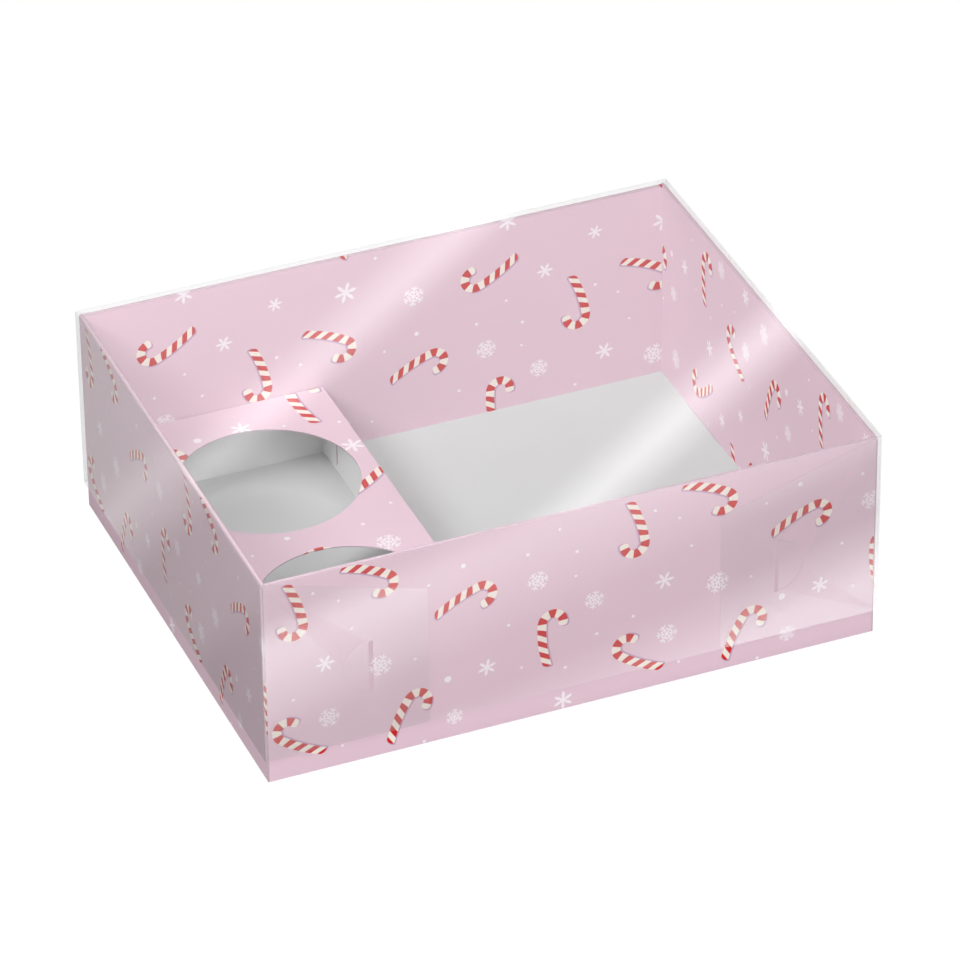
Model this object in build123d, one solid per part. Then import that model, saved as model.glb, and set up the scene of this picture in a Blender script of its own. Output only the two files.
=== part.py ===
"""Sweet and cupcake gift box: a printed card tray with rolled double walls, a clear
folded lid whose corner flaps lock with half-round tongues, and a card cupcake riser.

Millimetres, +Z up. The origin is the middle of the tray's underside, on the table.
The front is at -Y, the left side at -X. Each panel of a folded blank is one solid,
cut at its creases, and stands where the fold leaves it.
"""
import os

from build123d import *

# Printed card tray
base_length = 250.0
base_depth = 202.0
base_height = 90.0
card = 0.5

# Tabs that close the tray's corners, held between the layers of the side walls
corner_tab_reach = 38.0
corner_tab_taper = 7.0
corner_tab_edge_room = 1.5
corner_tab_radius = 4.0

# Feet of the side linings, locked in slots of the floor
foot_length = 32.0
foot_pitch = 112.0
foot_room = 0.2
foot_radius = 0.3

# Clear folded lid
lid_sheet = 0.3
lid_slide_room = 0.35
lid_top_room = 0.9
lid_reveal = 10.5

# Corner flaps of the lid, behind its front and back skirts
flap_reach = 66.5
flap_end_height = 61.0
flap_radius = 2.0

# Half-round tongues of the skirts, tucked through slots in the corner flaps
tongue_radius = 11.5
tongue_bend_run = 1.5
tongue_from_corner = 44.0
tongue_height = 42.5
tongue_room = 0.05
tongue_kerf = 0.15
slot_room = 0.2
slot_radius = 0.5

# Card riser that holds two cupcakes
insert_length = 98.2
insert_height = 31.0
insert_room = 0.3
hole_radius = 36.7
hole_pitch = 88.8
hole_edge_margin = 7.3
glue_tab_reach = 16.0
glue_tab_taper = 3.0
glue_tab_radius = 2.0

# Worked-out sizes of the tray
wall = card + card + card
inner_length = base_length - 2 * wall
inner_depth = base_depth - 2 * wall
rim_radius = wall / 2
rim_start = base_height - rim_radius
foot_slot_depth = wall - card + foot_room

# Worked-out sizes of the lid
tongue_drop = 2 * lid_sheet + tongue_room
lid_overhang = tongue_drop + lid_sheet + lid_slide_room
lid_length = base_length + 2 * lid_overhang
lid_depth = base_depth + 2 * lid_overhang
lid_underside = base_height + lid_top_room
skirt_height = lid_underside - lid_reveal
tongue_hinge = lid_length / 2 - tongue_from_corner

# Worked-out sizes of the riser
insert_depth = inner_depth - 2 * insert_room
insert_left = insert_room - inner_length / 2
insert_right = insert_left + insert_length
deck_underside = card + insert_height - card
leg_height = deck_underside - card
hole_centre = insert_right - hole_edge_margin - hole_radius

STANDING = (Align.CENTER, Align.MIN)
MIDDLE = (Align.CENTER, Align.CENTER)


def facing_front(y):
    """Plane of a panel whose outer face looks to the front, drawn in x and z."""
    return Plane(origin=(0, y, 0), x_dir=(1, 0, 0), z_dir=(0, -1, 0))


def facing_left(x):
    """Plane of a panel whose outer face looks to the left, drawn in y and z."""
    return Plane(origin=(x, 0, 0), x_dir=(0, -1, 0), z_dir=(-1, 0, 0))


def sheet(plane, outline, thickness):
    """A die-cut outline on a plane, given its thickness behind the plane."""
    return extrude(plane * outline, amount=-thickness)


def outline_of(*points):
    """Flat outline through the points, in order."""
    return make_face(Polyline(*points, close=True))


def tapered_tab(reach, taper, radius, bottom, top):
    """Tab that leaves its crease at zero and narrows to a rounded free end."""
    tab = outline_of((0, bottom), (reach, bottom + taper), (reach, top - taper), (0, top))
    return fillet(tab.vertices().group_by(Axis.X)[-1], radius)


def to_back(part):
    return mirror(part, about=Plane.XZ)


def to_right(part):
    return mirror(part, about=Plane.YZ)


def base_floor():
    """Floor of the tray, with a slot at the crease for each foot of the side linings."""
    panel = Rectangle(base_length - 2 * card, base_depth - 2 * card)
    slot = Rectangle(2 * foot_slot_depth, foot_length + 2 * foot_room)
    edge = base_length / 2 - card
    for side in (-1, 1):
        for end in (-1, 1):
            panel -= Pos(side * edge, end * foot_pitch / 2) * slot
    return extrude(panel, amount=card)


def base_front_wall():
    panel = Rectangle(base_length - 2 * card, rim_start, align=STANDING)
    return sheet(facing_front(-base_depth / 2), panel, card)


def base_left_wall():
    panel = Rectangle(base_depth, rim_start, align=STANDING)
    return sheet(facing_left(-base_length / 2), panel, card)


def rolled_rim():
    """Half-round section of the roll that joins an outer wall to its lining."""
    ring = Circle(rim_radius) - Circle(rim_radius - card)
    upper = Rectangle(2 * rim_radius, rim_radius, align=STANDING)
    return ring & upper


def lining_section():
    """Section of a lining, from the floor up to the start of the roll."""
    middle = rim_radius - card / 2
    drop = rim_start - card
    return Pos(middle, -drop) * Rectangle(card, drop, align=STANDING)


def base_front_lining():
    """Roll and inner layer of the front wall, which stands on the floor."""
    across = Plane(
        origin=(-inner_length / 2, rim_radius - base_depth / 2, rim_start),
        x_dir=(0, 1, 0),
        z_dir=(1, 0, 0),
    )
    return extrude(across * (rolled_rim() + lining_section()), amount=inner_length)


def base_left_lining():
    """Roll and inner layer of the left wall, with two feet through the floor's slots."""
    along = Plane(
        origin=(rim_radius - base_length / 2, base_depth / 2, rim_start),
        x_dir=(1, 0, 0),
        z_dir=(0, -1, 0),
    )
    roll = extrude(along * rolled_rim(), amount=base_depth)
    shift = Plane(along.origin - Vector(0, card, 0), x_dir=along.x_dir, z_dir=along.z_dir)
    layer = extrude(shift * lining_section(), amount=base_depth - 2 * card)
    foot = Rectangle(foot_length, card, align=STANDING)
    foot = fillet(foot.vertices().group_by(Axis.Y)[0], foot_radius)
    outer_face = facing_left(wall - card - base_length / 2)
    lining = roll + layer
    for end in (-1, 1):
        lining += sheet(outer_face, Pos(end * foot_pitch / 2) * foot, card)
    return lining


def base_corner_tab():
    """Tab of the front wall, turned in behind the left wall and covered by its lining."""
    bottom = card + corner_tab_edge_room
    top = rim_start - corner_tab_edge_room
    tab = tapered_tab(corner_tab_reach, corner_tab_taper, corner_tab_radius, bottom, top)
    crease = Plane(
        origin=(card - base_length / 2, card - base_depth / 2, 0),
        x_dir=(0, 1, 0),
        z_dir=(1, 0, 0),
    )
    return extrude(crease * tab, amount=card)


def lid_top():
    panel = Rectangle(lid_length, lid_depth)
    return extrude(Plane.XY.offset(lid_underside) * panel, amount=lid_sheet)


def half_disc(radius):
    """Half-round outline that bulges to the right of its hinge line."""
    right_half = Rectangle(radius, 2 * radius, align=(Align.MIN, Align.CENTER))
    return Circle(radius) & right_half


def lock_tongue():
    """Tongue on the right of the front skirt, bent in behind the corner flap."""
    face = -lid_depth / 2
    behind = face + tongue_drop
    bend_end = tongue_hinge + tongue_bend_run
    tip = tongue_hinge + tongue_radius
    bent = outline_of(
        (tongue_hinge, face),
        (bend_end, behind),
        (tip, behind),
        (tip, behind + lid_sheet),
        (bend_end, behind + lid_sheet),
        (tongue_hinge, face + lid_sheet),
    )
    low = tongue_height - tongue_radius
    strip = extrude(Plane.XY.offset(low) * bent, amount=2 * tongue_radius)
    stamp = Pos(tongue_hinge, tongue_height) * half_disc(tongue_radius)
    return strip & sheet(facing_front(face), stamp, tongue_drop + lid_sheet)


def lid_front_skirt():
    """Front skirt, with the windows that its two tongues are cut from."""
    panel = Pos(0, lid_reveal) * Rectangle(lid_length, skirt_height, align=STANDING)
    window = Pos(tongue_hinge, tongue_height) * half_disc(tongue_radius + tongue_kerf)
    panel -= window
    panel -= mirror(window, about=Plane.YZ)
    tongue = lock_tongue()
    return sheet(facing_front(-lid_depth / 2), panel, lid_sheet) + tongue + to_right(tongue)


def lid_left_skirt():
    panel = Pos(0, lid_reveal) * Rectangle(lid_depth - 2 * lid_sheet, skirt_height, align=STANDING)
    return sheet(facing_left(-lid_length / 2), panel, lid_sheet)


def lid_corner_flap():
    """Flap of the right skirt, turned in behind the front skirt and held by its tongue."""
    crease = lid_length / 2 - lid_sheet
    free_end = lid_length / 2 - flap_reach
    shoulder = lid_reveal + flap_end_height
    flap = outline_of(
        (crease, lid_reveal),
        (free_end, lid_reveal),
        (free_end, shoulder),
        (crease, lid_underside),
    )
    flap = fillet(flap.vertices().group_by(Axis.X)[0], flap_radius)
    slot = Rectangle(tongue_bend_run + 2 * slot_room, 2 * (tongue_radius + slot_room))
    slot = fillet(slot.vertices(), slot_radius)
    flap -= Pos(tongue_hinge + tongue_bend_run / 2, tongue_height) * slot
    return sheet(facing_front(lid_sheet - lid_depth / 2), flap, lid_sheet)


def insert_deck():
    """Deck of the riser, with a round hole for each cupcake."""
    middle = (insert_left + insert_right) / 2
    panel = Pos(middle, 0) * Rectangle(insert_length, insert_depth)
    for end in (-1, 1):
        panel -= Pos(hole_centre, end * hole_pitch / 2) * Circle(hole_radius)
    return extrude(Plane.XY.offset(deck_underside) * panel, amount=card)


def insert_left_leg():
    panel = Pos(0, card) * Rectangle(insert_depth, leg_height, align=STANDING)
    return sheet(facing_left(insert_left), panel, card)


def insert_right_leg():
    """Leg that divides the cupcakes from the rest of the box."""
    panel = Pos(0, card) * Rectangle(insert_depth, leg_height, align=STANDING)
    return sheet(facing_left(insert_right - card), panel, card)


def insert_front_leg():
    middle = (insert_left + insert_right) / 2
    width = insert_length - 2 * card
    panel = Pos(middle, card) * Rectangle(width, leg_height, align=STANDING)
    return sheet(facing_front(-insert_depth / 2), panel, card)


def insert_front_glue_tab():
    """Tab of the front leg, glued to the inside of the right leg."""
    tab = tapered_tab(glue_tab_reach, glue_tab_taper, glue_tab_radius, card, deck_underside)
    crease = Plane(
        origin=(insert_right - 2 * card, card - insert_depth / 2, 0),
        x_dir=(0, 1, 0),
        z_dir=(1, 0, 0),
    )
    return extrude(crease * tab, amount=card)


def tray_nodes():
    front_wall, left_wall = base_front_wall(), base_left_wall()
    front_lining, left_lining = base_front_lining(), base_left_lining()
    tab = base_corner_tab()
    return {
        "base_floor": base_floor(),
        "base_front_wall": front_wall,
        "base_back_wall": to_back(front_wall),
        "base_left_wall": left_wall,
        "base_right_wall": to_right(left_wall),
        "base_front_lining": front_lining,
        "base_back_lining": to_back(front_lining),
        "base_left_lining": left_lining,
        "base_right_lining": to_right(left_lining),
        "base_front_left_corner_tab": tab,
        "base_front_right_corner_tab": to_right(tab),
        "base_back_left_corner_tab": to_back(tab),
        "base_back_right_corner_tab": to_back(to_right(tab)),
    }


def lid_nodes():
    front_skirt, left_skirt = lid_front_skirt(), lid_left_skirt()
    flap = lid_corner_flap()
    return {
        "lid_top": lid_top(),
        "lid_front_skirt": front_skirt,
        "lid_back_skirt": to_back(front_skirt),
        "lid_left_skirt": left_skirt,
        "lid_right_skirt": to_right(left_skirt),
        "lid_front_right_corner_flap": flap,
        "lid_front_left_corner_flap": to_right(flap),
        "lid_back_right_corner_flap": to_back(flap),
        "lid_back_left_corner_flap": to_back(to_right(flap)),
    }


def insert_nodes():
    front_leg, front_tab = insert_front_leg(), insert_front_glue_tab()
    return {
        "insert_deck": insert_deck(),
        "insert_left_leg": insert_left_leg(),
        "insert_right_leg": insert_right_leg(),
        "insert_front_leg": front_leg,
        "insert_back_leg": to_back(front_leg),
        "insert_front_glue_tab": front_tab,
        "insert_back_glue_tab": to_back(front_tab),
    }


os.makedirs("parts", exist_ok=True)
for name, part in {**tray_nodes(), **lid_nodes(), **insert_nodes()}.items():
    export_step(part, f"parts/{name}.step")
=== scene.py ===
"""Looks of the sweet and cupcake gift box: printed card, clear lid film and studio.

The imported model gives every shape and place. This file adds the print, the card's
raw sides and cut edges, the film of the lid, and the stage that they stand on.
Lengths are metres, apart from the print's drawing, which is laid out in millimetres.
"""
import math

import bpy
from mathutils import Matrix, Vector


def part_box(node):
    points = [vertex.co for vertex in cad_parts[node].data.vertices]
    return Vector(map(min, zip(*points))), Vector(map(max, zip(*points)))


bl_info = {
    "name": "Festive Cupcake Gift Box",
    "version": (1, 0, 0),
    "blender": (4, 5, 0),
    "location": "3D View > Sidebar > Gift Box",
    "description": "Prints the card, clears the lid and lights the stage of a cupcake gift box",
    "category": "Object",
}

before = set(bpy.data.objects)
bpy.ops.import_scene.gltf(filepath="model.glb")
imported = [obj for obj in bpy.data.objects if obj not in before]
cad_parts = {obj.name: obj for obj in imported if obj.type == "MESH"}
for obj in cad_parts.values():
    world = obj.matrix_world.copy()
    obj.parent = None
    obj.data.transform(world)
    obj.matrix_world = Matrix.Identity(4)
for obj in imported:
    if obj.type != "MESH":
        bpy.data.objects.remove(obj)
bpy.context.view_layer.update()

MM_PER_M = 1000.0

# Repeat of the print, in millimetres, and the half of it in which the nearest motif lies
PRINT_REPEAT = (138.0, 116.0)
REPEAT_HALF = (PRINT_REPEAT[0] / 2, PRINT_REPEAT[1] / 2, 1.0)
REPEAT_BACK = tuple(-value for value in REPEAT_HALF)

# Candy canes of one repeat: x and y of the middle, turn in degrees, side of the shade
CANES = (
    (-114.4, 74.8, 188.0, 1.0),
    (-83.0, 81.5, -122.0, 1.0),
    (-44.3, 59.9, -73.0, 1.0),
    (-9.6, 34.1, -4.0, 1.0),
    (-111.3, 16.8, 51.0, 1.0),
    (-68.2, 14.2, -33.0, 1.0),
    (-13.1, 99.3, 113.0, -1.0),
)

# Snowflakes of one repeat: x, y, radius, turn in degrees, and 1 where it is a lacy one
FLAKES = (
    (-101.0, 48.0, 4.0, 5.0, 0.0),
    (-79.0, 41.0, 4.9, 12.0, 1.0),
    (-100.0, 23.0, 4.5, 0.0, 1.0),
    (-36.0, 28.0, 3.9, 20.0, 0.0),
    (-15.0, 62.0, 4.5, 8.0, 1.0),
    (-49.5, 9.0, 3.7, 25.0, 1.0),
    (8.0, 47.0, 4.2, 18.0, 1.0),
    (-5.0, 4.0, 4.2, 28.0, 0.0),
    (-105.0, 106.0, 3.2, 10.0, 0.0),
    (-75.0, 104.0, 4.9, 14.0, 0.0),
    (11.0, 93.0, 3.6, 3.0, 0.0),
    (-46.0, 95.0, 4.7, 22.0, 1.0),
)

# Dots of one repeat: x, y and radius
DOTS = (
    (-105.0, 81.0, 0.7),
    (-95.0, 75.0, 0.6),
    (-45.0, 77.0, 1.0),
    (-90.0, 61.0, 0.6),
    (-114.0, 35.0, 0.7),
    (-59.0, 72.0, 0.6),
    (-52.0, 27.0, 1.4),
    (-65.0, 40.0, 0.6),
    (-95.0, 8.5, 0.6),
    (-62.0, 1.0, 0.7),
    (-22.0, 24.0, 0.6),
    (-27.0, 45.0, 0.7),
    (-4.0, 19.0, 0.7),
    (9.0, 31.0, 0.7),
    (0.5, 60.0, 0.6),
    (1.0, 71.0, 0.7),
    (-6.0, 83.0, 0.6),
    (-19.0, 75.0, 0.7),
)

# Shape of a candy cane, in millimetres from the start of its hook
HOOK_RADIUS = 4.3
STEM_LENGTH = 18.6
TAIL_LENGTH = 0.8
CANE_HALF_WIDTH = 1.85
STEM_BOW = 0.009
MIDDLE_DROP = 7.0
END_FLATNESS = 1.6
STRIPE_PITCH = 5.24
STRIPE_PHASE = 0.24
STRIPE_SLANT = -0.55
SLANT_RUN = 5.0
SHADE_OFFSET = 0.7

# Arms and branches of a snowflake, as shares of its radius
STAR_ARM_SHARES = (0.12, 1.02)
STAR_WIDTH_SHARE = 0.16
STAR_HUB_SHARE = 0.3
LACE_BRANCH_SHARES = ((0.34, 0.3), (0.66, 0.32))
LACE_WIDTH_SHARE = 0.062

# How softly printed edges end, in millimetres
INK_EDGE = 0.22
SNOW_EDGE = 0.2
MIDDLING_FLAKE_RADIUS = 4.0

# Noise in the card: how many fibres, flecks and clouds there are in a metre
FIBRE_STRETCH = (1.0, 2.5, 1.0)
FIBRE_SCALE = 900.0
FIBRE_DETAIL = 4.0
FLECK_SCALE = 60.0
INK_CLOUD_SCALE = 25.0
GRAIN_DETAIL = 3.0
GLOSS_SWING = 0.05

# Faces that turn this far from a panel's facing are cut edges
EDGE_LIMIT = 0.5

# Facing at which a fold begins, how fast the painted shade deepens past it, and how fast on a rim
# that looks up
FOLD_SHADE_START = 0.98
FOLD_SHADE_GAIN = 10.0
RIM_SHADE_GAIN = 3.0

# Where the print starts on each lining of the tray, in millimetres across and up
LINING_STARTS = {
    "front": (-20.0, 22.0),
    "back": (-61.0, 31.0),
    "left": (-30.0, 22.0),
    "right": (59.035, -36.0),
}

# How much larger the riser's print is than the tray's, and where it starts on the deck
RISER_PRINT_SCALE = 1.18
DECK_START = (19.856, -42.559)

# Glow of the light cards that only gloss mirrors: place across the card, then strength
LID_GLOW = (
    (-0.300, 0.0),
    (-0.270, 0.70),
    (-0.097, 0.70),
    (-0.0735, 2.18),
    (-0.054, 0.45),
    (0.093, 0.45),
    (0.1145, 2.6),
    (0.1385, 0.0),
)
FRONT_GLOW = (
    (-0.060, 0.60),
    (-0.012, 0.60),
    (0.001, 2.00),
    (0.007, 2.00),
    (0.044, 0.40),
    (0.066, 0.25),
    (0.080, 0.95),
    (0.096, 2.15),
)
LEFT_GLOW = (
    (-0.118, 0.0),
    (-0.100, 0.14),
    (-0.048, 0.14),
    (-0.008, 0.66),
    (0.014, 0.42),
)

# Lamps: name, power setting, place, aim, width and height
BOX_MIDDLE = (0.0, 0.0, 0.03)
LAMPS = (
    ("key_lamp", "key_lamp", (-1.061, -0.495, 1.121), BOX_MIDDLE, 0.45, 0.45),
    ("main_lamp", "main_lamp", (-0.111, -1.268, 1.303), BOX_MIDDLE, 0.7, 0.7),
    ("front_lamp", "front_lamp", (0.3, -1.8, 0.5), BOX_MIDDLE, 1.0, 0.8),
    ("inside_lamp", "inside_lamp", (-0.14, -0.085, 0.44), (0.12, 0.0, 0.04), 0.14, 0.35),
    ("back_fill", "fill_lamp", (0.3, 1.8, 0.25), BOX_MIDDLE, 1.0, 0.4),
    ("right_fill", "fill_lamp", (1.8, 0.3, 0.25), BOX_MIDDLE, 1.0, 0.4),
)

# Light cards close to the lid's sides: the axis they face, their turn, middle and size,
# the point and direction from which their glow is counted, and the glow
SIDE_CARDS = {
    "front": (
        1, Matrix(((-1.0, 0.0, 0.0), (0.0, 0.0, 1.0), (0.0, 1.0, 0.0))),
        (0.002, 0.0, 0.046), (0.264, 0.090),
        (0.0, 0.0, 0.09001), (0.23907, 0.0, -1.00227), FRONT_GLOW),
    "left": (
        0, Matrix(((0.0, 0.0, 1.0), (1.0, 0.0, 0.0), (0.0, 1.0, 0.0))),
        (0.0, 0.005, 0.046), (0.216, 0.090),
        (0.0, 0.0, 0.08978), (0.0, 0.99735, 1.04976), LEFT_GLOW),
}

# Size of the floor, height of the lid's light card, and how far the camera sees
FLOOR_SIZE = 12.0
LID_CARD_HEIGHT = 0.6
CAMERA_REACH = 50.0

# Share of its own glow that the floor shows where it is seen or mirrored
FLOOR_GLOW_SHARE = 0.9


def tone(red, green, blue):
    """Colour of a screen tone from 0 to 255, as the linear values that Blender uses."""

    def linear(value):
        share = value / 255.0
        return share / 12.92 if share <= 0.04045 else ((share + 0.055) / 1.055) ** 2.4

    return tuple(linear(value) for value in (red, green, blue))


def opaque(colour):
    return (*colour, 1.0)


class Wires:
    """Adds nodes to one node tree and joins them as a formula is written out."""

    TO_NUMBER = {"DOT_PRODUCT", "LENGTH", "DISTANCE"}

    def __init__(self, tree):
        self.tree = tree

    def add(self, kind, **settings):
        node = self.tree.nodes.new(kind)
        for name, value in settings.items():
            setattr(node, name, value)
        return node

    def feed(self, socket, value):
        if isinstance(value, bpy.types.NodeSocket):
            self.tree.links.new(value, socket)
        else:
            socket.default_value = value

    def feed_all(self, node, values):
        for socket, value in zip(node.inputs, values):
            self.feed(socket, value)

    def math(self, operation, *values, clamp=False):
        node = self.add("ShaderNodeMath", operation=operation, use_clamp=clamp)
        self.feed_all(node, values)
        return node.outputs[0]

    def vector(self, operation, *values):
        node = self.add("ShaderNodeVectorMath", operation=operation)
        self.feed_all(node, values)
        return node.outputs["Value" if operation in self.TO_NUMBER else "Vector"]

    def combine(self, x, y, z=0.0):
        node = self.add("ShaderNodeCombineXYZ")
        self.feed_all(node, (x, y, z))
        return node.outputs[0]

    def separate(self, vector):
        node = self.add("ShaderNodeSeparateXYZ")
        self.feed(node.inputs[0], vector)
        return node.outputs

    def turn(self, vector, angle):
        node = self.add("ShaderNodeVectorRotate", rotation_type="Z_AXIS")
        self.feed(node.inputs["Vector"], vector)
        self.feed(node.inputs["Angle"], angle)
        return node.outputs[0]

    def choose(self, share, first, second):
        """Vector that is the first at a share of 0 and the second at 1."""
        node = self.add("ShaderNodeMix", data_type="VECTOR")
        self.feed(node.inputs[0], share)
        self.feed(node.inputs[4], first)
        self.feed(node.inputs[5], second)
        return node.outputs[1]

    def tint(self, share, first, second):
        """Colour that is the first at a share of 0 and the second at 1."""
        node = self.add("ShaderNodeMix", data_type="RGBA")
        self.feed(node.inputs[0], share)
        self.feed(node.inputs[6], first)
        self.feed(node.inputs[7], second)
        return node.outputs[2]

    def noise(self, vector, scale, detail=2.0):
        node = self.add("ShaderNodeTexNoise")
        self.feed(node.inputs["Vector"], vector)
        node.inputs["Scale"].default_value = scale
        node.inputs["Detail"].default_value = detail
        return node.outputs["Fac"]

    def cover(self, reach, limit, softness):
        """1 where the reach is under the limit, 0 beyond it, with a soft edge."""
        inside = self.math("SUBTRACT", limit, reach)
        return self.math("MULTIPLY_ADD", inside, 1.0 / softness, 0.5, clamp=True)


def from_motif(wires, place, x, y):
    """Offset of a place from the nearest repeat of the motif at x and y."""
    towards = wires.vector("SUBTRACT", place, (x, y, 0.0))
    return wires.vector("WRAP", towards, REPEAT_HALF, REPEAT_BACK)


def nearest_motif(wires, place, motifs):
    """Offset from the nearest motif of the repeating print, and that motif's figures."""
    offset, gap, figures = None, None, None
    for x, y, *own in motifs:
        towards = from_motif(wires, place, x, y)
        far = wires.vector("LENGTH", towards)
        own = tuple(own)
        if gap is None:
            offset, gap, figures = towards, far, own
            continue
        nearer = wires.math("LESS_THAN", far, gap)
        offset = wires.choose(nearer, offset, towards)
        figures = wires.choose(nearer, figures, own)
        gap = wires.math("MINIMUM", far, gap)
    return offset, figures


def cane_reach(wires, offset):
    """How far a point lies from a cane's middle line, and its way along and across it."""
    x, y, _ = wires.separate(offset)
    below = wires.math("MINIMUM", y, 0.0)
    above = wires.math("MAXIMUM", y, 0.0)
    bow = wires.math("MULTIPLY", wires.math("MULTIPLY", below, below), STEM_BOW)
    inward = wires.math("SUBTRACT", wires.math("ADD", bow, HOOK_RADIUS), x)
    ring = wires.vector("LENGTH", wires.combine(inward, above))
    across = wires.math("SUBTRACT", ring, HOOK_RADIUS)
    on_stem = wires.math("GREATER_THAN", inward, 0.0)
    end = wires.math("MULTIPLY_ADD", on_stem, STEM_LENGTH - TAIL_LENGTH, TAIL_LENGTH)
    past_end = wires.math("MINIMUM", wires.math("ADD", below, end), 0.0)
    flattened = wires.math("MULTIPLY", past_end, END_FLATNESS)
    reach = wires.vector("LENGTH", wires.combine(across, flattened))
    angle = wires.math("ARCTAN2", above, inward)
    side = wires.math("MULTIPLY_ADD", on_stem, 2.0, -1.0)
    along = wires.math("MULTIPLY_ADD", angle, HOOK_RADIUS, wires.math("MULTIPLY", below, side))
    slant = wires.math("MULTIPLY", wires.math("MULTIPLY", below, on_stem), -1.0 / SLANT_RUN)
    slant = wires.math("MINIMUM", slant, 1.0)
    along = wires.math("MULTIPLY_ADD", wires.math("MULTIPLY", slant, across), STRIPE_SLANT, along)
    return reach, along


def draw_canes(wires, place, ground, look):
    """The candy canes, each with a lilac shade along one side."""
    motifs = [(x, y, math.radians(turn), side, 0.0) for x, y, turn, side in CANES]
    offset, figures = nearest_motif(wires, place, motifs)
    turn, side, _ = wires.separate(figures)
    upright = wires.turn(offset, wires.math("MULTIPLY", turn, -1.0))
    upright = wires.vector("ADD", upright, (HOOK_RADIUS, -MIDDLE_DROP, 0.0))
    shift = wires.combine(wires.math("MULTIPLY", side, SHADE_OFFSET), -SHADE_OFFSET / 2)
    shade_reach, _ = cane_reach(wires, wires.vector("SUBTRACT", upright, shift))
    reach, along = cane_reach(wires, upright)
    waves = wires.math("MULTIPLY_ADD", along, math.tau / STRIPE_PITCH, -math.tau * STRIPE_PHASE)
    wave_softness = math.pi * INK_EDGE / STRIPE_PITCH * 2
    red = wires.cover(wires.math("MULTIPLY", wires.math("COSINE", waves), -1.0), 0.0, wave_softness)
    sugar = wires.tint(red, opaque(look.cream), opaque(look.red))
    shade = wires.cover(shade_reach, CANE_HALF_WIDTH, 2 * INK_EDGE)
    shaded = wires.tint(shade, ground, opaque(look.lilac))
    return wires.tint(wires.cover(reach, CANE_HALF_WIDTH, INK_EDGE), shaded, sugar)


def star_cover(wires, fold, softness):
    """Six leaf-shaped arms round a hub, on a snowflake of radius 1 folded onto one arm."""
    along, across, _ = wires.separate(fold)
    start, end = STAR_ARM_SHARES
    share = wires.math("MULTIPLY_ADD", along, 1.0 / (end - start), -start / (end - start))
    rest = wires.math("SUBTRACT", 1.0, share)
    width = wires.math("MULTIPLY", wires.math("MULTIPLY", share, rest), 4 * STAR_WIDTH_SHARE)
    arm = wires.cover(wires.math("ABSOLUTE", across), width, softness)
    hub = wires.cover(wires.vector("LENGTH", fold), STAR_HUB_SHARE, softness)
    return wires.math("MAXIMUM", arm, hub)


def lace_cover(wires, fold, softness):
    """Six fine arms with slanted branches, on a snowflake of radius 1 folded onto one arm."""
    along, across, _ = wires.separate(fold)
    across = wires.math("ABSOLUTE", across)
    beyond = wires.math("MAXIMUM", wires.math("SUBTRACT", along, 1.0 - LACE_WIDTH_SHARE), 0.0)
    nearest = wires.vector("LENGTH", wires.combine(beyond, across))
    slope = (math.cos(math.pi / 3), math.sin(math.pi / 3))
    for start, length in LACE_BRANCH_SHARES:
        tip = wires.combine(wires.math("SUBTRACT", along, start), across)
        run = wires.vector("DOT_PRODUCT", tip, (*slope, 0.0))
        held = wires.math("MINIMUM", wires.math("MAXIMUM", run, 0.0), length)
        foot = wires.vector("SCALE", (*slope, 0.0))
        wires.feed(foot.node.inputs["Scale"], held)
        nearest = wires.math("MINIMUM", nearest, wires.vector("DISTANCE", tip, foot))
    return wires.cover(nearest, LACE_WIDTH_SHARE, softness)


def draw_flakes(wires, place, ground, look):
    """The snowflakes and dots, in a white that lets some of the ground through."""
    motifs = []
    for x, y, radius, turn, lacy in FLAKES:
        motifs.append((x, y, radius, math.radians(turn), lacy))
    offset, figures = nearest_motif(wires, place, motifs)
    radius, turn, lacy = wires.separate(figures)
    upright = wires.turn(offset, wires.math("MULTIPLY", turn, -1.0))
    x, y, _ = wires.separate(upright)
    far = wires.math("DIVIDE", wires.vector("LENGTH", upright), radius)
    sector = math.pi / 6
    angle = wires.math("WRAP", wires.math("ARCTAN2", y, x), sector, -sector)
    fold = wires.combine(
        wires.math("MULTIPLY", far, wires.math("COSINE", angle)),
        wires.math("MULTIPLY", far, wires.math("SINE", angle)),
    )
    softness = SNOW_EDGE / MIDDLING_FLAKE_RADIUS
    star = star_cover(wires, fold, softness)
    lace = lace_cover(wires, fold, softness)
    lace_share = wires.math("MULTIPLY", lace, lacy)
    star_share = wires.math("MULTIPLY", star, wires.math("SUBTRACT", 1.0, lacy))
    white = wires.math("ADD", lace_share, star_share)
    for x, y, size in DOTS:
        towards = from_motif(wires, place, x, y)
        dot = wires.cover(wires.vector("LENGTH", towards), size, SNOW_EDGE)
        white = wires.math("MAXIMUM", white, dot)
    strength = wires.math("MULTIPLY", white, look.flake_strength)
    return wires.tint(strength, ground, opaque(look.flake))


def print_group(look):
    """Node group that gives the printed colour at a place in millimetres."""
    name = "Festive Print"
    if name in bpy.data.node_groups:
        return bpy.data.node_groups[name]
    tree = bpy.data.node_groups.new(name, "ShaderNodeTree")
    tree.interface.new_socket("Place", in_out="INPUT", socket_type="NodeSocketVector")
    tree.interface.new_socket("Colour", in_out="OUTPUT", socket_type="NodeSocketColor")
    wires = Wires(tree)
    place = wires.add("NodeGroupInput").outputs["Place"]
    flaked = draw_flakes(wires, place, opaque(look.pink), look)
    colour = draw_canes(wires, place, flaked, look)
    wires.feed(wires.add("NodeGroupOutput").inputs["Colour"], colour)
    return tree


def new_material(name):
    material = bpy.data.materials.new(name)
    material.use_nodes = True
    material.node_tree.nodes.clear()
    return material, Wires(material.node_tree)


def finish_material(wires, shader):
    wires.feed(wires.add("ShaderNodeOutputMaterial").inputs["Surface"], shader)


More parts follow.
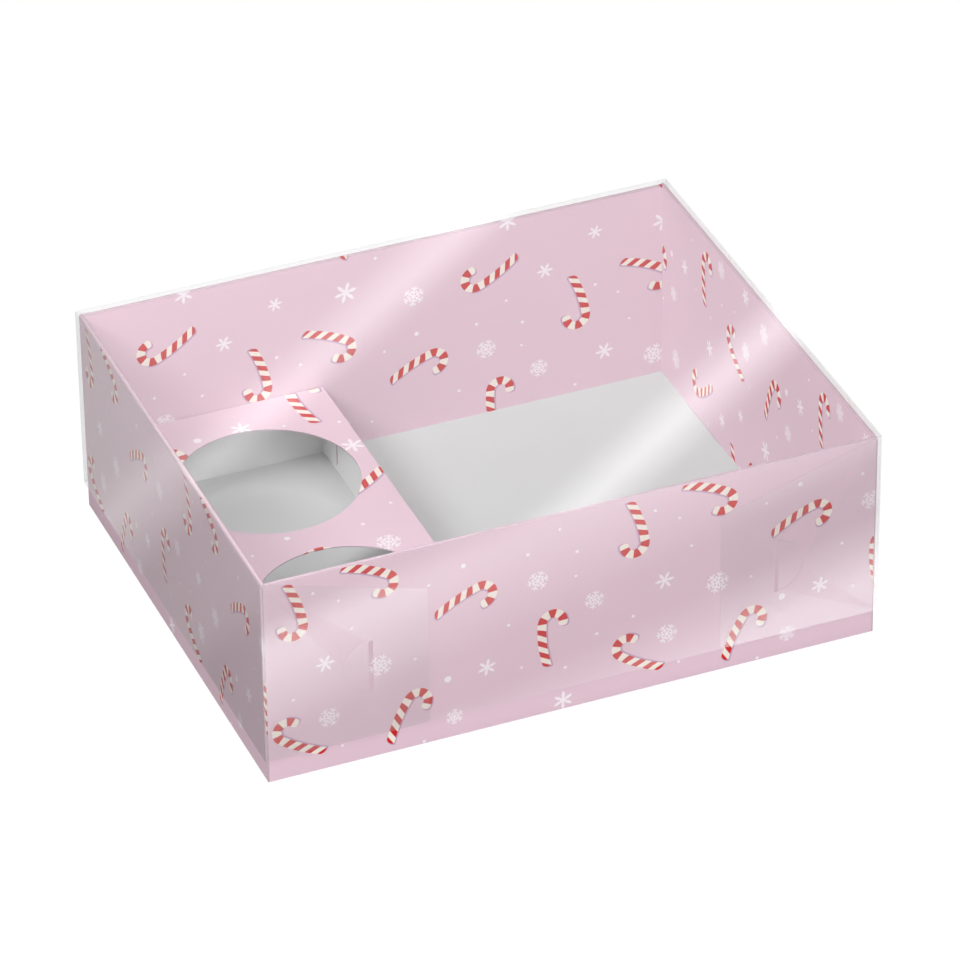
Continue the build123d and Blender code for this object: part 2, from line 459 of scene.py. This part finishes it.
def seen_rays(wires):
    """Shares of the rays that come straight from the camera, and of those from gloss."""
    rays = wires.add("ShaderNodeLightPath").outputs
    straight = wires.math("MAXIMUM", rays["Is Camera Ray"], rays["Is Transmission Ray"])
    return straight, rays["Is Glossy Ray"]


def raw_card(wires, coordinates, colour, contrast):
    """Colour of the card's unprinted side: pale grey, with short fibres and flecks."""
    stretched = wires.vector("MULTIPLY", coordinates, FIBRE_STRETCH)
    fibres = wires.noise(stretched, FIBRE_SCALE, FIBRE_DETAIL)
    flecks = wires.noise(coordinates, FLECK_SCALE)
    blend = wires.math("MULTIPLY_ADD", fibres, 0.5, wires.math("MULTIPLY", flecks, 0.5))
    dark = tuple(value * (1.0 - contrast) for value in colour)
    light = tuple(min(value * (1.0 + contrast), 1.0) for value in colour)
    return wires.tint(blend, opaque(dark), opaque(light))


def printed_card(name, across, up, start, printed_side=None, raw=None, depth=1.0):
    """Printed card whose pattern runs across and up a panel from a start in millimetres.

    The two directions also scale the pattern. Where a printed side is given, the faces
    that look the other way show the raw card, and the cut edges take the ink. Painted
    shade darkens the ink on folds and rims, and a depth under 1 paints shade over it all.
    """
    look = bpy.context.scene.gift_print
    card = bpy.context.scene.gift_card
    material, wires = new_material(name)
    coordinates = wires.add("ShaderNodeTexCoord")
    point = coordinates.outputs["Object"]
    along = wires.vector("DOT_PRODUCT", point, tuple(MM_PER_M * value for value in across))
    rise = wires.vector("DOT_PRODUCT", point, tuple(MM_PER_M * value for value in up))
    place = wires.vector("ADD", wires.combine(along, rise), (*start, 0.0))
    group = wires.add("ShaderNodeGroup", node_tree=print_group(look))
    wires.feed(group.inputs["Place"], place)
    ink = group.outputs["Colour"]
    clouds = wires.noise(point, INK_CLOUD_SCALE)
    shade = wires.math("MULTIPLY_ADD", clouds, 2 * look.ink_mottle, 1.0 - look.ink_mottle)
    # Painted shade: the ink darkens on faces that look up, such as the linings' rolled rims, and on
    # the bent faces and cut edges of a printed side
    if printed_side is None:
        tilt = wires.separate(coordinates.outputs["Normal"])[2]
        fold_shade = wires.math("MULTIPLY", tilt, RIM_SHADE_GAIN, clamp=True)
    else:
        looks_out = wires.vector("DOT_PRODUCT", coordinates.outputs["Normal"], printed_side)
        full = FOLD_SHADE_GAIN * FOLD_SHADE_START
        fold_shade = wires.math("MULTIPLY_ADD", looks_out, -FOLD_SHADE_GAIN, full, clamp=True)
    painted_shade = wires.math("MULTIPLY_ADD", fold_shade, (card.painted_fold_shade - 1.0) * depth, depth)
    shade = wires.math("MULTIPLY", shade, painted_shade)
    mottled = wires.vector("SCALE", ink)
    wires.feed(mottled.node.inputs["Scale"], shade)
    bounced = wires.add("ShaderNodeLightPath").outputs["Is Diffuse Ray"]
    mottled = wires.tint(bounced, mottled, opaque(look.bounce))
    shader = wires.add("ShaderNodeBsdfPrincipled")
    shader.inputs["Specular IOR Level"].default_value = look.ink_sheen
    grain = wires.noise(point, card.grain_scale, GRAIN_DETAIL)
    bump = wires.add("ShaderNodeBump")
    bump.inputs["Strength"].default_value = card.grain_strength
    bump.inputs["Distance"].default_value = card.grain_depth
    wires.feed(bump.inputs["Height"], grain)
    wires.feed(shader.inputs["Normal"], bump.outputs["Normal"])
    if printed_side is None:
        wires.feed(shader.inputs["Base Color"], mottled)
        least = look.ink_roughness - GLOSS_SWING
        gloss = wires.math("MULTIPLY_ADD", grain, 2 * GLOSS_SWING, least)
        wires.feed(shader.inputs["Roughness"], gloss)
    else:
        printed = wires.math("GREATER_THAN", looks_out, -EDGE_LIMIT)
        plain = raw_card(wires, point, raw or card.raw, card.fibre_contrast)
        wires.feed(shader.inputs["Base Color"], wires.tint(printed, plain, mottled))
        smoother = look.ink_roughness - card.roughness
        rough = wires.math("MULTIPLY_ADD", printed, smoother, card.roughness)
        wires.feed(shader.inputs["Roughness"], rough)
    finish_material(wires, shader.outputs[0])
    return material


def clear_film(name, facing, milkiness, creases):
    """Clear film: a thin haze, a polished skin, and milky creases and cut edges.

    The creases are how far from the middle a panel reaches along x, y and z before it
    bends. The one along its own facing isn't used.
    """
    film = bpy.context.scene.gift_film
    material, wires = new_material(name)
    coordinates = wires.add("ShaderNodeTexCoord")
    point = coordinates.outputs["Object"]
    geometry = wires.add("ShaderNodeNewGeometry")
    front = wires.math("SUBTRACT", 1.0, geometry.outputs["Backfacing"])
    lit = wires.math("SUBTRACT", 1.0, wires.add("ShaderNodeLightPath").outputs["Is Shadow Ray"])
    clouds = wires.noise(point, film.cloud_scale)
    swing = film.cloud_share * milkiness
    haze = wires.math("MULTIPLY_ADD", clouds, 2 * swing, milkiness - swing)
    inside = film.crease_width + film.crease_softness
    for axis, span in enumerate(wires.separate(wires.vector("ABSOLUTE", point))):
        if not facing[axis]:
            margin = wires.math("SUBTRACT", creases[axis], span)
            inside = wires.math("MINIMUM", inside, margin)
    crease = wires.cover(inside, film.crease_width, film.crease_softness)
    haze = wires.math("MAXIMUM", haze, wires.math("MULTIPLY", crease, film.crease_haze))
    looks_out = wires.vector("DOT_PRODUCT", coordinates.outputs["Normal"], facing)
    looks_out = wires.math("ABSOLUTE", looks_out)
    edge = wires.math("LESS_THAN", looks_out, EDGE_LIMIT)
    flat = wires.math("GREATER_THAN", looks_out, film.flat_limit)
    haze = wires.math("MAXIMUM", haze, wires.math("MULTIPLY", edge, film.edge_haze))
    haze = wires.math("MULTIPLY", haze, wires.math("MULTIPLY", front, lit))
    milk = wires.add("ShaderNodeBsdfDiffuse")
    milk.inputs["Color"].default_value = opaque(film.milk)
    bent = wires.math("MULTIPLY", front, wires.math("SUBTRACT", 1.0, flat))
    see_through = wires.add("ShaderNodeBsdfTransparent")
    dimmed = wires.tint(bent, opaque((1.0, 1.0, 1.0)), opaque((film.bend_clearness,) * 3))
    wires.feed(see_through.inputs["Color"], dimmed)
    body = wires.add("ShaderNodeMixShader")
    wires.feed_all(body, (haze, see_through.outputs[0], milk.outputs[0]))
    wave = wires.noise(point, film.wave_scale, 1.0)
    bump = wires.add("ShaderNodeBump")
    bump.inputs["Strength"].default_value = film.wave_strength
    bump.inputs["Distance"].default_value = film.wave_depth
    wires.feed(bump.inputs["Height"], wave)
    skin = wires.add("ShaderNodeBsdfGlossy")
    skin.inputs["Roughness"].default_value = film.roughness
    wires.feed(skin.inputs["Normal"], bump.outputs["Normal"])
    fresnel = wires.add("ShaderNodeFresnel")
    fresnel.inputs["IOR"].default_value = film.ior
    both_faces = wires.math("MULTIPLY", fresnel.outputs[0], 2.0)
    sheen = wires.math("DIVIDE", both_faces, wires.math("ADD", fresnel.outputs[0], 1.0))
    sheen = wires.math("MULTIPLY", sheen, wires.math("MULTIPLY", front, flat))
    whole = wires.add("ShaderNodeMixShader")
    wires.feed_all(whole, (sheen, body.outputs[0], skin.outputs[0]))
    finish_material(wires, whole.outputs[0])
    return material


def dress(name, material):
    """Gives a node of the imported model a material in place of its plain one."""
    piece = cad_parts[name]
    if not piece.material_slots:
        piece.data.materials.append(material)
    for slot in piece.material_slots:
        slot.material = material


class PrintSettings(bpy.types.PropertyGroup):
    """Inks of the printed pattern."""

    pink: bpy.props.FloatVectorProperty(
        name="Pink ground", description="Solid ink between the motifs",
        subtype="COLOR", default=tone(227, 197, 210), min=0.0, max=1.0)
    bounce: bpy.props.FloatVectorProperty(
        name="Bounce", description="Tint of the light that the print passes on to other walls",
        subtype="COLOR", default=tone(214, 206, 209), min=0.0, max=1.0)
    red: bpy.props.FloatVectorProperty(
        name="Red", description="Stripes of the candy canes",
        subtype="COLOR", default=tone(204, 28, 28), min=0.0, max=1.0)
    cream: bpy.props.FloatVectorProperty(
        name="Cream", description="Canes between their stripes",
        subtype="COLOR", default=tone(244, 234, 224), min=0.0, max=1.0)
    lilac: bpy.props.FloatVectorProperty(
        name="Lilac", description="Shade along one side of each cane",
        subtype="COLOR", default=tone(190, 152, 184), min=0.0, max=1.0)
    flake: bpy.props.FloatVectorProperty(
        name="Snow", description="Snowflakes and dots",
        subtype="COLOR", default=tone(250, 242, 247), min=0.0, max=1.0)
    flake_strength: bpy.props.FloatProperty(
        name="Snow strength", description="How fully the snow covers the pink",
        subtype="FACTOR", default=0.84, min=0.0, max=1.0)
    ink_mottle: bpy.props.FloatProperty(
        name="Mottle", description="Cloudiness of the solid ink",
        subtype="FACTOR", default=0.012, min=0.0, max=0.2)
    ink_roughness: bpy.props.FloatProperty(
        name="Ink roughness", description="Roughness of the satin print",
        subtype="FACTOR", default=0.5, min=0.0, max=1.0)
    ink_sheen: bpy.props.FloatProperty(
        name="Ink sheen", description="Strength of the print's reflections",
        subtype="FACTOR", default=0.2, min=0.0, max=1.0)


class CardSettings(bpy.types.PropertyGroup):
    """Raw side and tooth of the card."""

    raw: bpy.props.FloatVectorProperty(
        name="Raw card", description="Colour of the unprinted side",
        subtype="COLOR", default=tone(203, 204, 204), min=0.0, max=1.0)
    # Painted light: the riser's raw side is paler than the tray's, so the hollow under the deck,
    # where little light falls, looks lit
    riser_raw_painted_light: bpy.props.FloatVectorProperty(
        name="Raw riser card", description="Colour of the riser's unprinted side",
        subtype="COLOR", default=tone(235, 234, 234), min=0.0, max=1.0)
    fibre_contrast: bpy.props.FloatProperty(
        name="Fibre contrast", description="How much the fibres differ from the raw colour",
        subtype="FACTOR", default=0.05, min=0.0, max=0.5)
    roughness: bpy.props.FloatProperty(
        name="Raw roughness", description="Roughness of the unprinted side",
        subtype="FACTOR", default=0.8, min=0.0, max=1.0)
    # Painted shade: the riser's ink is darkened to take out the extra light that the lamps throw on
    # its deck
    riser_painted_shade: bpy.props.FloatProperty(
        name="Riser tone", description="Depth of the riser's ink, where 1 is the tray's",
        subtype="FACTOR", default=0.93, min=0.0, max=1.0)
    # Painted shade: how much the ink darkens on folds and rolled rims, so they don't show a bright
    # line of lamp light
    painted_fold_shade: bpy.props.FloatProperty(
        name="Fold tone", description="Depth of the ink on folds and rims, where 1 is a panel's",
        subtype="FACTOR", default=0.72, min=0.0, max=1.0)
    grain_scale: bpy.props.FloatProperty(
        name="Tooth scale", description="How many grains the card's tooth has in a metre",
        default=1800.0, min=1.0)
    grain_strength: bpy.props.FloatProperty(
        name="Tooth strength", description="Strength of the card's tooth",
        subtype="FACTOR", default=0.1, min=0.0, max=1.0)
    grain_depth: bpy.props.FloatProperty(
        name="Tooth depth", description="Depth of the card's tooth",
        subtype="DISTANCE", unit="LENGTH", default=0.00005, min=0.0, precision=6)


class FilmSettings(bpy.types.PropertyGroup):
    """Haze, skin and edges of the clear lid."""

    haze: bpy.props.FloatProperty(
        name="Haze", description="Share of a sheet's light that its milkiness takes",
        subtype="FACTOR", default=0.005, min=0.0, max=1.0)
    flap_haze: bpy.props.FloatProperty(
        name="Flap haze", description="Milkiness of the corner flaps",
        subtype="FACTOR", default=0.02, min=0.0, max=1.0)
    front_haze: bpy.props.FloatProperty(
        name="Front haze", description="Milkiness of the front and back",
        subtype="FACTOR", default=0.03, min=0.0, max=1.0)
    cloud_share: bpy.props.FloatProperty(
        name="Cloudiness", description="How much the haze comes and goes over a panel",
        subtype="FACTOR", default=0.2, min=0.0, max=1.0)
    cloud_scale: bpy.props.FloatProperty(
        name="Cloud scale", description="How many clouds the haze has in a metre",
        default=9.0, min=0.1)
    edge_haze: bpy.props.FloatProperty(
        name="Edge haze", description="Milkiness of the cut edges",
        subtype="FACTOR", default=0.06, min=0.0, max=1.0)
    bend_clearness: bpy.props.FloatProperty(
        name="Bend clearness", description="Share of the light that bends and cut edges let through",
        subtype="FACTOR", default=0.93, min=0.0, max=1.0)
    flat_limit: bpy.props.FloatProperty(
        name="Flat limit", description="How squarely a face looks out where the film mirrors",
        subtype="FACTOR", default=0.97, min=0.0, max=1.0)
    crease_haze: bpy.props.FloatProperty(
        name="Crease haze", description="Milkiness along the creases",
        subtype="FACTOR", default=0.05, min=0.0, max=1.0)
    crease_width: bpy.props.FloatProperty(
        name="Crease width", description="How far the milkiness reaches from a crease",
        subtype="DISTANCE", unit="LENGTH", default=0.0012, min=0.0, precision=4)
    crease_softness: bpy.props.FloatProperty(
        name="Crease softness", description="How gently that milkiness ends",
        subtype="DISTANCE", unit="LENGTH", default=0.0006, min=0.0001, precision=4)
    milk: bpy.props.FloatVectorProperty(
        name="Milk", description="Colour of the haze",
        subtype="COLOR", default=tone(222, 222, 222), min=0.0, max=1.0)
    ior: bpy.props.FloatProperty(
        name="Index of refraction", description="Strength of the film's reflections",
        default=1.5, min=1.0, max=3.0)
    roughness: bpy.props.FloatProperty(
        name="Skin roughness", description="Roughness of the film's skin",
        subtype="FACTOR", default=0.03, min=0.0, max=1.0)
    wave_scale: bpy.props.FloatProperty(
        name="Wave scale", description="How many waves the film has in a metre",
        default=6.0, min=0.1)
    wave_strength: bpy.props.FloatProperty(
        name="Wave strength", description="Strength of the film's waves",
        subtype="FACTOR", default=0.05, min=0.0, max=1.0)
    wave_depth: bpy.props.FloatProperty(
        name="Wave depth", description="Depth of the film's waves",
        subtype="DISTANCE", unit="LENGTH", default=0.0006, min=0.0, precision=5)


class StudioSettings(bpy.types.PropertyGroup):
    """Camera, lamps and floor."""

    azimuth: bpy.props.FloatProperty(
        name="Azimuth", description="Turn of the camera from the front",
        subtype="ANGLE", unit="ROTATION", default=math.radians(-21.873))
    elevation: bpy.props.FloatProperty(
        name="Elevation", description="Height of the camera above the floor as an angle",
        subtype="ANGLE", unit="ROTATION", default=math.radians(33.974))
    roll: bpy.props.FloatProperty(
        name="Roll", description="Turn of the camera about its own axis",
        subtype="ANGLE", unit="ROTATION", default=math.radians(-0.755))
    distance: bpy.props.FloatProperty(
        name="Distance", description="From the camera to the middle of its view",
        subtype="DISTANCE", unit="LENGTH", default=2.538, min=0.1)
    target: bpy.props.FloatVectorProperty(
        name="Target", description="Middle of the camera's view",
        subtype="TRANSLATION", default=(0.00024, -0.00604, 0.045))
    lens: bpy.props.FloatProperty(
        name="Lens", description="Focal length in millimetres on a 36 mm sensor",
        default=244.95, min=1.0)
    key_lamp: bpy.props.FloatProperty(
        name="Key lamp", description="Power of the lamp at the left",
        unit="POWER", default=13.1, min=0.0)
    main_lamp: bpy.props.FloatProperty(
        name="Main lamp", description="Power of the lamp over the front",
        unit="POWER", default=10.2, min=0.0)
    front_lamp: bpy.props.FloatProperty(
        name="Front lamp", description="Power of the low lamp in front of the box",
        unit="POWER", default=12.2, min=0.0)
    inside_lamp: bpy.props.FloatProperty(
        name="Inside lamp", description="Power of the small lamp that looks into the open side",
        unit="POWER", default=1.37, min=0.0)
    fill_lamp: bpy.props.FloatProperty(
        name="Fill lamps", description="Power of each low lamp behind and at the right",
        unit="POWER", default=20.0, min=0.0)
    floor: bpy.props.FloatVectorProperty(
        name="Floor", description="Colour of the floor",
        subtype="COLOR", default=tone(165, 165, 165), min=0.0, max=1.0)
    floor_white: bpy.props.FloatProperty(
        name="Floor white", description="How white the floor looks to the camera",
        default=1.1, min=0.0)
    floor_gloss: bpy.props.FloatProperty(
        name="Floor in gloss", description="How white the floor looks where the film mirrors it",
        default=0.22, min=0.0)
    room_gloss: bpy.props.FloatProperty(
        name="Room in gloss", description="How white the room looks where the film mirrors it",
        default=0.35, min=0.0)
    film_faces: bpy.props.IntProperty(
        name="Film faces", description="How many faces of film light may cross on its way",
        default=32, min=8, max=128)
    card_distance: bpy.props.FloatProperty(
        name="Card distance", description="From the lid to the light card that it mirrors",
        subtype="DISTANCE", unit="LENGTH", default=1.8, min=0.1)
    side_card_gap: bpy.props.FloatProperty(
        name="Side card gap", description="From the lid's sides to the light cards beside them",
        subtype="DISTANCE", unit="LENGTH", default=0.003, min=0.001)
    card_turn: bpy.props.FloatProperty(
        name="Card turn", description="Slant of that card's light streaks",
        subtype="ANGLE", unit="ROTATION", default=math.radians(48.19))


def view_direction(studio):
    """Direction from the middle of the view to the camera."""
    azimuth, elevation = studio.azimuth, studio.elevation
    return Vector((
        math.sin(azimuth) * math.cos(elevation),
        -math.cos(azimuth) * math.cos(elevation),
        math.sin(elevation),
    ))


class GIFTBOX_OT_camera(bpy.types.Operator):
    """Put the camera at the photograph's viewing angle"""

    bl_idname = "giftbox.camera"
    bl_label = "Camera"

    def execute(self, context):
        studio = context.scene.gift_studio
        towards = view_direction(studio)
        right = Vector((math.cos(studio.azimuth), math.sin(studio.azimuth), 0.0))
        up = towards.cross(right)
        level = Matrix((right, up, towards)).transposed()
        rotation = (level @ Matrix.Rotation(studio.roll, 3, "Z")).to_euler()
        place = Vector(studio.target) + studio.distance * towards
        bpy.ops.object.camera_add(location=place, rotation=rotation)
        camera = context.object
        camera.name = "box_camera"
        camera.data.lens = studio.lens
        camera.data.clip_end = CAMERA_REACH
        context.scene.camera = camera
        return {"FINISHED"}


class GIFTBOX_OT_stage(bpy.types.Operator):
    """Lay a plain pale floor and set soft studio light"""

    bl_idname = "giftbox.stage"
    bl_label = "Floor and light"

    def execute(self, context):
        studio = context.scene.gift_studio
        bpy.ops.object.select_all(action="DESELECT")
        bpy.ops.mesh.primitive_plane_add(size=FLOOR_SIZE)
        floor = context.object
        floor.name = "stage_floor"
        floor.data.materials.append(self.floor_material(studio))
        self.light_world(context.scene, studio)
        context.scene.cycles.transparent_max_bounces = studio.film_faces
        self.light_box(studio)
        self.add_lid_card(studio)
        self.add_side_cards(studio.side_card_gap)
        return {"FINISHED"}

    def light_box(self, studio):
        """Soft lamps round the box."""
        for name, setting, place, aim, width, height in LAMPS:
            self.lamp(name, getattr(studio, setting), place, aim, width, height)

    def add_lid_card(self, studio):
        """Card behind the box that the lid's top mirrors towards the camera."""
        lid_middle = Vector((0.0, 0.0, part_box("lid_top")[1][2]))
        eye = Vector(studio.target) + studio.distance * view_direction(studio)
        eye.z = 2 * lid_middle.z - eye.z
        facing = (eye - lid_middle).normalized()
        right = Vector((0.0, 0.0, 1.0)).cross(facing).normalized()
        level = Matrix((right, facing.cross(right), facing)).transposed()
        turned = level @ Matrix.Rotation(studio.card_turn, 3, "Z")
        middle = lid_middle - studio.card_distance * facing
        across = turned.col[0]
        width = LID_GLOW[-1][0] - LID_GLOW[0][0]
        place = middle + (LID_GLOW[0][0] + width / 2) * across
        size = (width, LID_CARD_HEIGHT)
        self.light_card("lid_card", place, turned, size, middle, across, LID_GLOW)

    def add_side_cards(self, gap):
        """Upright cards close to the lid's front and left side, which the film mirrors."""
        for side, (axis, turned, middle, size, zero, run, glow) in SIDE_CARDS.items():
            place = Vector(middle)
            place[axis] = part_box(f"lid_{side}_skirt")[0][axis] - gap
            self.light_card(f"{side}_card", place, turned, size, Vector(zero), Vector(run), glow)

    def light_card(self, name, place, turned, size, middle, across, glow):
        """Glowing card that shows in gloss alone, its glow changing across it."""
        bpy.ops.mesh.primitive_plane_add(size=1.0, location=place, rotation=turned.to_euler())
        card = bpy.context.object
        card.name = name
        card.scale = (*size, 1.0)
        bpy.ops.object.transform_apply(location=True, rotation=True, scale=True)
        material, wires = new_material(name + " Glow")
        point = wires.add("ShaderNodeTexCoord").outputs["Object"]
        from_middle = wires.vector("SUBTRACT", point, tuple(middle))
        reach = wires.vector("DOT_PRODUCT", from_middle, tuple(across))
        start, run = glow[0][0], glow[-1][0] - glow[0][0]
        share = wires.math("MULTIPLY_ADD", reach, 1.0 / run, -start / run)
        brightest = max(strength for _, strength in glow)
        ramp = wires.add("ShaderNodeValToRGB")
        wires.feed(ramp.inputs[0], share)
        stops = ramp.color_ramp.elements
        for stop, (where, strength) in zip((stops[0], stops[1]), (glow[0], glow[-1])):
            stop.position = (where - start) / run
            stop.color = opaque((strength / brightest,) * 3)
        for where, strength in glow[1:-1]:
            stops.new((where - start) / run).color = opaque((strength / brightest,) * 3)
        behind = wires.add("ShaderNodeNewGeometry").outputs["Backfacing"]
        front = wires.math("SUBTRACT", 1.0, behind)
        shine = wires.add("ShaderNodeEmission")
        wires.feed(shine.inputs["Color"], ramp.outputs["Color"])
        wires.feed(shine.inputs["Strength"], wires.math("MULTIPLY", front, brightest))
        both = wires.add("ShaderNodeAddShader")
        clear = wires.add("ShaderNodeBsdfTransparent")
        wires.feed_all(both, (shine.outputs[0], clear.outputs[0]))
        finish_material(wires, both.outputs[0])
        card.data.materials.append(material)
        card.visible_camera = False
        card.visible_diffuse = False
        card.visible_transmission = False
        card.visible_shadow = False

    def floor_material(self, studio):
        """Pale floor that looks white to the camera and keeps the box's shadow."""
        material, wires = new_material("Studio Floor")
        straight, mirrored = seen_rays(wires)
        paper = wires.add("ShaderNodeBsdfDiffuse")
        paper.inputs["Color"].default_value = opaque(studio.floor)
        glow = wires.add("ShaderNodeEmission")
        shine = wires.math("MULTIPLY", straight, studio.floor_white)
        shine = wires.math("MULTIPLY_ADD", mirrored, studio.floor_gloss, shine)
        wires.feed(glow.inputs["Strength"], shine)
        blend = wires.add("ShaderNodeMixShader")
        seen = wires.math("MAXIMUM", straight, mirrored)
        wires.feed(blend.inputs[0], wires.math("MULTIPLY", seen, FLOOR_GLOW_SHARE))
        wires.feed(blend.inputs[1], paper.outputs[0])
        wires.feed(blend.inputs[2], glow.outputs[0])
        finish_material(wires, blend.outputs[0])
        return material

    def light_world(self, scene, studio):
        """Surroundings that are white to the camera and grey where the film mirrors them."""
        world = bpy.data.worlds.new("Studio Surround")
        world.use_nodes = True
        world.node_tree.nodes.clear()
        wires = Wires(world.node_tree)
        straight, mirrored = seen_rays(wires)
        mirrored = wires.math("MULTIPLY", mirrored, studio.room_gloss)
        background = wires.add("ShaderNodeBackground")
        wires.feed(background.inputs["Strength"], wires.math("MAXIMUM", straight, mirrored))
        background.inputs["Color"].default_value = (1.0, 1.0, 1.0, 1.0)
        wires.feed(wires.add("ShaderNodeOutputWorld").inputs["Surface"], background.outputs[0])
        scene.world = world

    def lamp(self, name, power, place, aim, width, height):
        """Soft rectangular lamp at a place, pointed at its aim. The film doesn't mirror it."""
        direction = Vector(aim) - Vector(place)
        rotation = direction.to_track_quat("-Z", "Y").to_euler()
        bpy.ops.object.light_add(type="AREA", location=place, rotation=rotation)
        lamp = bpy.context.object
        lamp.name = name
        lamp.data.shape = "RECTANGLE"
        lamp.data.size = width
        lamp.data.size_y = height
        lamp.data.energy = power
        lamp.visible_camera = False
        lamp.visible_glossy = False


class GIFTBOX_OT_tray(bpy.types.Operator):
    """Print the tray's walls and linings, and leave the inside of its floor raw"""

    bl_idname = "giftbox.tray"
    bl_label = "Tray"

    def execute(self, context):
        low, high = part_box("base_left_wall")[0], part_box("base_right_wall")[1]
        squeeze = (high[0] - low[0]) / (high[1] - low[1])
        outer = {
            "base_front_wall": ((1, 0, 0), (0, 0, 1), (0.0, 0.0), (0, -1, 0)),
            "base_back_wall": ((-1, 0, 0), (0, 0, 1), (0.0, 0.0), (0, 1, 0)),
            "base_left_wall": ((0, -squeeze, 0), (0, 0, 1), (0.0, 0.0), (-1, 0, 0)),
            "base_right_wall": ((0, squeeze, 0), (0, 0, 1), (0.0, 0.0), (1, 0, 0)),
            "base_floor": ((1, 0, 0), (0, -1, 0), (0.0, 0.0), (0, 0, -1)),
        }
        for name, (across, up, start, side) in outer.items():
            dress(name, printed_card(name + "_card", across, up, start, side))
        inner = {
            "front": ((-1, 0, 0), (0, 0, 1)),
            "back": ((1, 0, 0), (0, 0, 1)),
            "left": ((0, squeeze, 0), (0, 0, 1)),
            "right": ((0, -squeeze, 0), (0, 0, 1)),
        }
        for side, (across, up) in inner.items():
            name = f"base_{side}_lining"
            dress(name, printed_card(name + "_card", across, up, LINING_STARTS[side]))
        for front in ("front", "back"):
            for side, sign in (("left", 1), ("right", -1)):
                name = f"base_{front}_{side}_corner_tab"
                across, up, looks = (0, -sign, 0), (0, 0, 1), (-sign, 0, 0)
                dress(name, printed_card(name + "_card", across, up, (0.0, 0.0), looks))
        return {"FINISHED"}


class GIFTBOX_OT_riser(bpy.types.Operator):
    """Print the riser's deck and legs"""

    bl_idname = "giftbox.riser"
    bl_label = "Riser"

    def execute(self, context):
        grow = 1.0 / RISER_PRINT_SCALE
        panels = {
            "insert_deck": ((grow, 0, 0), (0, grow, 0), DECK_START, (0, 0, 1)),
            "insert_left_leg": ((0, -grow, 0), (0, 0, grow), (0.0, 0.0), (-1, 0, 0)),
            "insert_right_leg": ((0, grow, 0), (0, 0, grow), (0.0, 0.0), (1, 0, 0)),
            "insert_front_leg": ((grow, 0, 0), (0, 0, grow), (0.0, 0.0), (0, -1, 0)),
            "insert_back_leg": ((-grow, 0, 0), (0, 0, grow), (0.0, 0.0), (0, 1, 0)),
            "insert_front_glue_tab": ((0, grow, 0), (0, 0, grow), (0.0, 0.0), (1, 0, 0)),
            "insert_back_glue_tab": ((0, grow, 0), (0, 0, grow), (0.0, 0.0), (1, 0, 0)),
        }
        card = context.scene.gift_card
        # The riser's ink takes painted shade through its depth
        for name, (across, up, start, side) in panels.items():
            # The riser's raw side is paler, as painted light under the deck
            material = printed_card(
                name + "_card", across, up, start, side, card.riser_raw_painted_light, card.riser_painted_shade)
            dress(name, material)
        return {"FINISHED"}


class GIFTBOX_OT_lid(bpy.types.Operator):
    """Clear the lid's film"""

    bl_idname = "giftbox.lid"
    bl_label = "Lid"

    def execute(self, context):
        facings = {
            "top": (0, 0, 1),
            "front": (0, 1, 0),
            "back": (0, 1, 0),
            "left": (1, 0, 0),
            "right": (1, 0, 0),
        }
        film = context.scene.gift_film
        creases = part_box("lid_top")[1]
        films = {}
        for side, facing in facings.items():
            milkiness = film.front_haze if side in ("front", "back") else film.haze
            films[side] = clear_film(f"lid_{side}_film", facing, milkiness, creases)
        dress("lid_top", films["top"])
        flap_film = clear_film("lid_flap_film", facings["front"], film.flap_haze, creases)
        for side in ("front", "back", "left", "right"):
            dress(f"lid_{side}_skirt", films[side])
        for end in ("front", "back"):
            for side in ("left", "right"):
                dress(f"lid_{end}_{side}_corner_flap", flap_film)
        return {"FINISHED"}


class GIFTBOX_PT_panel(bpy.types.Panel):
    """Sidebar panel that lists the settings and the steps"""

    bl_idname = "GIFTBOX_PT_panel"
    bl_label = "Gift Box"
    bl_space_type = "VIEW_3D"
    bl_region_type = "UI"
    bl_category = "Gift Box"

    def draw(self, context):
        scene = context.scene
        groups = (scene.gift_print, scene.gift_card, scene.gift_film, scene.gift_studio)
        for settings in groups:
            box = self.layout.box()
            for name in settings.__annotations__:
                box.prop(settings, name)
        for step in STEPS:
            self.layout.operator(step.bl_idname)


SETTINGS = {
    "gift_print": PrintSettings,
    "gift_card": CardSettings,
    "gift_film": FilmSettings,
    "gift_studio": StudioSettings,
}
STEPS = (
    GIFTBOX_OT_camera,
    GIFTBOX_OT_stage,
    GIFTBOX_OT_tray,
    GIFTBOX_OT_riser,
    GIFTBOX_OT_lid,
)
CLASSES = (*SETTINGS.values(), *STEPS, GIFTBOX_PT_panel)


def register():
    for cls in CLASSES:
        bpy.utils.register_class(cls)
    for name, cls in SETTINGS.items():
        setattr(bpy.types.Scene, name, bpy.props.PointerProperty(type=cls))


def unregister():
    for name in SETTINGS:
        delattr(bpy.types.Scene, name)
    for cls in reversed(CLASSES):
        bpy.utils.unregister_class(cls)


def main():
    register()
    bpy.context.scene.view_settings.view_transform = "Standard"
    bpy.ops.giftbox.camera()
    bpy.ops.giftbox.stage()
    bpy.ops.giftbox.tray()
    bpy.ops.giftbox.riser()
    bpy.ops.giftbox.lid()


if __name__ == "__main__":
    main()
